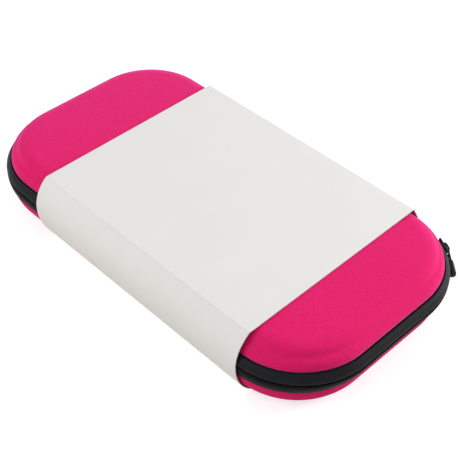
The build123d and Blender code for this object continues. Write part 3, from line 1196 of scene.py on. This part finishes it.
def net_panel(name, box, inset, pitch, thread):
    """A flat six-sided net that fills the drawn-in outline from the pocket's mouth back."""
    low, high = box
    side = pitch / sqrt(3)
    whole_cell = 1.5 * sqrt(3) * side**2
    row_step = 1.5 * side
    middle = (low[2] + high[2]) / 2
    built = bmesh.new()
    corners = {}

    def corner(x, y):
        key = (round(x / side * 4), round(y / side * 4))
        if key not in corners:
            y = min(max(y, low[1]), high[1] - EDGE_GAP)
            reach = inside_limit(inset, y)
            corners[key] = built.verts.new((min(max(x, -reach), reach), y, middle))
        return corners[key]

    turns = [radians(30 + 60 * i) for i in range(6)]
    for row in range(ceil((high[1] - low[1]) / row_step) + 1):
        y = low[1] + row * row_step
        for column in range(ceil((high[0] - low[0]) / pitch) + 2):
            x = low[0] + (column + row % 2 / 2) * pitch
            ring = [corner(x + side * cos(turn), y + side * sin(turn)) for turn in turns]
            cell = built.faces.new(ring)
            if cell.calc_area() < LEAST_CELL * whole_cell:
                built.faces.remove(cell)
    cells = built.faces[:]
    built.normal_update()
    bmesh.ops.inset_individual(built, faces=cells, thickness=thread / 2, use_even_offset=True)
    bmesh.ops.delete(built, geom=cells, context="FACES_ONLY")
    loose = [v for v in built.verts if not v.link_faces]
    bmesh.ops.delete(built, geom=loose, context="VERTS")
    area = sum(face.calc_area() for face in built.faces)
    mesh = bpy.data.meshes.new(name)
    built.to_mesh(mesh)
    built.free()
    piece = link_smooth(name, mesh)
    body = piece.modifiers.new("thread thickness", "SOLIDIFY")
    body.thickness = NET_THICKNESS
    body.offset = 0
    return piece, area


def band_section(low, high):
    """The band's section as (across, up) points, ribbed on both faces."""
    half = (high[2] - low[2]) / 2
    steps = 4 * BAND_RIBS
    points = []
    for i in range(steps + 1):
        share = i / steps
        end = sqrt(max(0, 1 - abs(2 * share - 1) ** 8))
        ridge = 1 - BAND_RIDGE * (1 - abs(sin(pi * BAND_RIBS * share)))
        points.append((low[1] + (high[1] - low[1]) * share, half * end * ridge))
    return points + [(y, -up) for y, up in reversed(points)]


def elastic_band(name, box, inset):
    """A ribbed elastic band that spans the drawn-in outline, puckered a little along its run."""
    low, high = box
    level = (high[2] + low[2]) / 2
    section = band_section(low, high)
    count = len(section)
    rings = ceil((high[0] - low[0]) / (PUCKER_PITCH / PUCKER_STEPS))
    vertices = []
    uvs = []
    for ring in range(rings + 1):
        swell = 1 - PUCKER * (1 - cos(2 * pi * ring / PUCKER_STEPS))
        for y, up in section:
            x = (2 * ring / rings - 1) * inside_limit(inset, y)
            vertices.append((x, y, level + up * swell))
            uvs.append((x, y))
    faces = [tuple(range(count)), tuple(rings * count + i for i in reversed(range(count)))]
    faces += quads_between(rings + 1, count)
    return outward_piece(name, vertices, faces, uvs)


class HARDCASE_OT_net_pocket(bpy.types.Operator):
    """Build the net pocket and its elastic edge"""

    bl_idname = "hardcase.net_pocket"
    bl_label = "Net pocket"

    def execute(self, context):
        shape = context.scene.hard_case_shape
        inset = inset_of("mesh_pocket")
        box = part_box("mesh_pocket")
        net, area = net_panel("pocket_net", box, inset, shape.net_pitch, shape.thread_width)
        band = elastic_band("pocket_elastic_band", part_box("pocket_elastic"), inset)
        pieces = ((net, "mesh_pocket", "mesh"), (band, "pocket_elastic", "elastic"))
        for piece, node, slot in pieces:
            dress(piece, MATERIALS[slot])
            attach(piece, "lid")
            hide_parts(node)
        return {"FINISHED"}


# ---- Card sleeve ----

CARD_THICKNESS = 0.45 * MM
CARD_STEPS = 40  # along the sleeve
TOP_CREASE = 9.8 * MM  # in from the sleeve's widest line
BOTTOM_CREASE = 12.0 * MM
BACK_BOW = 0.5 * MM
SIDE_STEPS = 18
CREASE_RADIUS = 2.0 * MM
CREASE_STEPS = 7
CREASE_SHARE = 0.45  # the most of a straight stretch that a rounded crease takes
LEAST_CREASE = 12  # degrees of turn, below which a corner stays as it is
CRISP_ANGLE = 50  # degrees from which the card's edges stay crisp


def bowed_side(half_width, crease, crease_up):
    """Points of a bowed side, from its widest line to a crease, as (across, up)."""
    radius = (crease_up**2 + crease**2) / (2 * crease)
    turn = atan2(abs(crease_up), radius - crease)
    points = []
    for i in range(SIDE_STEPS + 1):
        angle = turn * i / SIDE_STEPS
        across = half_width - radius * (1 - cos(angle))
        points.append((across, radius * sin(angle) * (1 if crease_up > 0 else -1)))
    return points


def drawn_side(half_width, crease, crease_up):
    """Points of a side that is drawn almost straight from its widest line to a crease."""
    points = []
    for i in range(SIDE_STEPS + 1):
        share = i / SIDE_STEPS
        across = half_width - crease * share + 4 * BACK_BOW * share * (1 - share)
        points.append((across, crease_up * share))
    return points


def mirrored(points):
    """The same side at the front of the case, from its crease to its widest line."""
    return [(-across, up) for across, up in reversed(points)]


def soften(points):
    """Round each crease of an open line."""
    result = [points[0]]
    for before, here, after in zip(points, points[1:], points[2:]):
        here = Vector(here)
        back = Vector(before) - here
        on = Vector(after) - here
        if pi - back.angle(on) < radians(LEAST_CREASE):
            result.append(tuple(here))
            continue
        reach = min(CREASE_RADIUS, back.length * CREASE_SHARE, on.length * CREASE_SHARE)
        start = here + back.normalized() * reach
        end = here + on.normalized() * reach
        for i in range(CREASE_STEPS + 1):
            share = i / CREASE_STEPS
            result.append(tuple(start.lerp(here, share).lerp(here.lerp(end, share), share)))
    result.append(points[-1])
    return result


def card_half(name, line, left, right):
    """A length of card that follows a line of (across, up) points, thick inward."""
    line = [Vector(point) for point in line]
    half = len(line)
    inner = []
    for i, point in enumerate(line):
        along = (line[min(i + 1, half - 1)] - line[max(i - 1, 0)]).normalized()
        if i in (0, half - 1):
            along = Vector((0, 1 if along.y > 0 else -1))
        inner.append(point + Vector((-along.y, along.x)) * CARD_THICKNESS)
    ring = line + list(reversed(inner))
    lengths = lengths_along(ring)
    vertices = []
    uvs = []
    for step in range(CARD_STEPS + 1):
        x = left + (right - left) * step / CARD_STEPS
        for point, length in zip(ring, lengths):
            vertices.append((x, point.x, SEAM + point.y))
            uvs.append((x, length))
    count = len(ring)
    faces = quads_between(CARD_STEPS + 1, count)
    for end in (0, CARD_STEPS * count):
        for i in range(half - 1):
            faces.append((end + i, end + i + 1, end + count - 2 - i, end + count - 1 - i))
    piece = outward_piece(name, vertices, faces, uvs)
    crisp = piece.modifiers.new("crisp edges", "EDGE_SPLIT")
    crisp.split_angle = radians(CRISP_ANGLE)
    return piece


class HARDCASE_OT_sleeve(bpy.types.Operator):
    """Build the card sleeve in its upper and lower halves"""

    bl_idname = "hardcase.sleeve"
    bl_label = "Card sleeve"

    def execute(self, context):
        low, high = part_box("sleeve_upper")
        half_width = high[1]
        top = high[2] - SEAM
        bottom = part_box("sleeve_lower")[0][2] - SEAM
        front = bowed_side(half_width, TOP_CREASE, top)
        back = drawn_side(half_width, TOP_CREASE, top)
        under = bowed_side(half_width, BOTTOM_CREASE, bottom)
        upper = back + mirrored(front)
        lower = list(reversed(under + mirrored(under)))
        for node, line in (("sleeve_upper", upper), ("sleeve_lower", lower)):
            piece = card_half(f"{node}_card", soften(line), low[0], high[0])
            dress(piece, MATERIALS["card"])
            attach(piece, node)
            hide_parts(node)
        return {"FINISHED"}


# ---- Stage ----

FLOOR_REACH = 12.0
FLOOR_DROP = 0.1 * MM  # below the case, so that the two never lie in one plane
PAPER_GREY = 0.6
DARK_WAY = (0.6, -0.65, -0.45)  # from the case towards the dimmer light
DARK_RANGE = (-0.1, 0.6)  # how squarely a direction faces that way, where dimming starts and ends
FILM_WIDTH = 36  # mm


def soft_lamp(name, place, aim, size, power):
    """A square lamp that looks at a point."""
    lamp = bpy.data.lights.new(name, "AREA")
    lamp.size = size
    lamp.energy = power
    thing = bpy.data.objects.new(name, lamp)
    thing.location = place
    thing.rotation_euler = (Vector(aim) - Vector(place)).to_track_quat("-Z", "Y").to_euler()
    bpy.context.scene.collection.objects.link(thing)


def camera_mix(tree, kind, shader, shown):
    """Show one shader to the camera, to mirrors and to glass, and the other to all else."""
    path = tree.nodes.new("ShaderNodeLightPath")
    mix = tree.nodes.new("ShaderNodeMixShader")
    seen = math_node(tree, "MAXIMUM", path.outputs["Is Camera Ray"], path.outputs["Is Glossy Ray"])
    seen = math_node(tree, "MAXIMUM", seen, path.outputs["Is Transmission Ray"])
    tree.links.new(seen, mix.inputs["Fac"])
    tree.links.new(shader, mix.inputs[1])
    tree.links.new(shown, mix.inputs[2])
    tree.links.new(mix.outputs["Shader"], tree.nodes[kind].inputs["Surface"])


class HARDCASE_OT_stage(bpy.types.Operator):
    """Lay the floor, hang the soft lamps and place the camera"""

    bl_idname = "hardcase.stage"
    bl_label = "Stage"

    def execute(self, context):
        stage = context.scene.hard_case_stage
        context.scene.view_settings.view_transform = "Standard"
        self.lay_floor(stage)
        self.light(context, stage)
        self.place_camera(context, stage)
        return {"FINISHED"}

    def lay_floor(self, stage):
        """A pale floor that keeps the case's shadow and fades to white around it."""
        signs = ((-1, -1), (1, -1), (1, 1), (-1, 1))
        corners = [(x * FLOOR_REACH, y * FLOOR_REACH, -FLOOR_DROP) for x, y in signs]
        floor = new_piece("studio_floor", corners, [(0, 1, 2, 3)])
        paper = Finish("studio floor")
        tree = paper.tree
        colour = tuple(stage.floor_colour)
        mottle = paper.effect("mottle", "Object", Patch=0.2, Grain=0.01)
        paper.colour(paper.blend(mottle.outputs["Patches"], shade(colour, 0.995), colour))
        paper.plain(Roughness=0.9, Specular_IOR_Level=0.1)
        lit = tree.nodes.new("ShaderNodeBsdfPrincipled")
        lit.inputs["Base Color"].default_value = (PAPER_GREY, PAPER_GREY, PAPER_GREY, 1)
        lit.inputs["Specular IOR Level"].default_value = 0
        lit.inputs["Emission Color"].default_value = (1, 1, 1, 1)
        lit.inputs["Emission Strength"].default_value = stage.floor_glow
        white = tree.nodes.new("ShaderNodeEmission")
        away = vector_node(tree, "LENGTH", paper.where.outputs["Object"])
        reach = stage.paper_reach
        fade = map_range(tree, away, From_Min=reach / 3, From_Max=reach)
        shown = tree.nodes.new("ShaderNodeMixShader")
        tree.links.new(fade, shown.inputs["Fac"])
        tree.links.new(lit.outputs["BSDF"], shown.inputs[1])
        tree.links.new(white.outputs["Emission"], shown.inputs[2])
        unseen = paper.shader.outputs["BSDF"]
        camera_mix(tree, "Material Output", unseen, shown.outputs["Shader"])
        dress(floor, paper.material)

    def light(self, context, stage):
        """Soft light from all around, weaker from the camera's side, and two lamps."""
        world = bpy.data.worlds.new("studio air")
        context.scene.world = world
        world.use_nodes = True
        tree = world.node_tree
        air = tree.nodes["Background"]
        air.inputs["Color"].default_value = (1, 1, 1, 1)
        direction = tree.nodes.new("ShaderNodeTexCoord").outputs["Generated"]
        dark_way = Vector(DARK_WAY).normalized()
        facing = vector_node(tree, "DOT_PRODUCT", direction, dark_way)
        strength = map_range(
            tree,
            facing,
            From_Min=DARK_RANGE[0],
            From_Max=DARK_RANGE[1],
            To_Min=stage.sky_strength,
            To_Max=stage.dark_side,
        )
        tree.links.new(strength, air.inputs["Strength"])
        white = tree.nodes.new("ShaderNodeBackground")
        white.inputs["Color"].default_value = (1, 1, 1, 1)
        camera_mix(tree, "World Output", air.outputs["Background"], white.outputs["Background"])
        soft_lamp(
            "key lamp",
            place=(-0.5, -1.15, 0.85),
            aim=(0, 0, 0.02),
            size=1.0,
            power=stage.key_power,
        )
        soft_lamp(
            "rim lamp",
            place=(0.57, 0.83, 0.36),
            aim=(0.11, 0.03, 0.03),
            size=0.4,
            power=stage.rim_power,
        )

    def place_camera(self, context, stage):
        """The camera, turned about the upright and tilted down."""
        camera = bpy.data.cameras.new("camera")
        camera.lens = stage.camera_lens
        camera.sensor_width = FILM_WIDTH
        camera.clip_start = 0.01
        thing = bpy.data.objects.new("camera", camera)
        thing.location = stage.camera_place
        turn = Matrix.Rotation(stage.camera_yaw, 4, "Z")
        tilt = Matrix.Rotation(pi / 2 - stage.camera_pitch, 4, "X")
        thing.rotation_euler = (turn @ tilt).to_euler()
        context.scene.collection.objects.link(thing)
        context.scene.camera = thing


# ---- Panel and registration ----

STEPS = (
    HARDCASE_OT_stage,
    HARDCASE_OT_covers,
    HARDCASE_OT_inner_shells,
    HARDCASE_OT_tapes,
    HARDCASE_OT_teeth,
    HARDCASE_OT_slider,
    HARDCASE_OT_net_pocket,
    HARDCASE_OT_sleeve,
)


class HARDCASE_PT_panel(bpy.types.Panel):
    """Lists the steps that build the case"""

    bl_idname = "HARDCASE_PT_panel"
    bl_label = "Hard Case"
    bl_space_type = "VIEW_3D"
    bl_region_type = "UI"
    bl_category = "Hard Case"

    def draw(self, context):
        column = self.layout.column()
        for step in STEPS:
            column.operator(step.bl_idname)


CLASSES = (HardCaseLooks, HardCaseShape, HardCaseStage, *STEPS, HARDCASE_PT_panel)


def register():
    """Register the classes and their settings."""
    for kind in CLASSES:
        bpy.utils.register_class(kind)
    bpy.types.Scene.hard_case_looks = PointerProperty(type=HardCaseLooks)
    bpy.types.Scene.hard_case_shape = PointerProperty(type=HardCaseShape)
    bpy.types.Scene.hard_case_stage = PointerProperty(type=HardCaseStage)


def unregister():
    """Remove the settings and the classes."""
    del bpy.types.Scene.hard_case_stage
    del bpy.types.Scene.hard_case_shape
    del bpy.types.Scene.hard_case_looks
    for kind in reversed(CLASSES):
        bpy.utils.unregister_class(kind)


def main():
    """Build every piece in order."""
    register()
    mix_materials()
    for step in STEPS:
        group, name = step.bl_idname.split(".")
        getattr(getattr(bpy.ops, group), name)()
    bpy.context.view_layer.update()


if __name__ == "__main__":
    main()
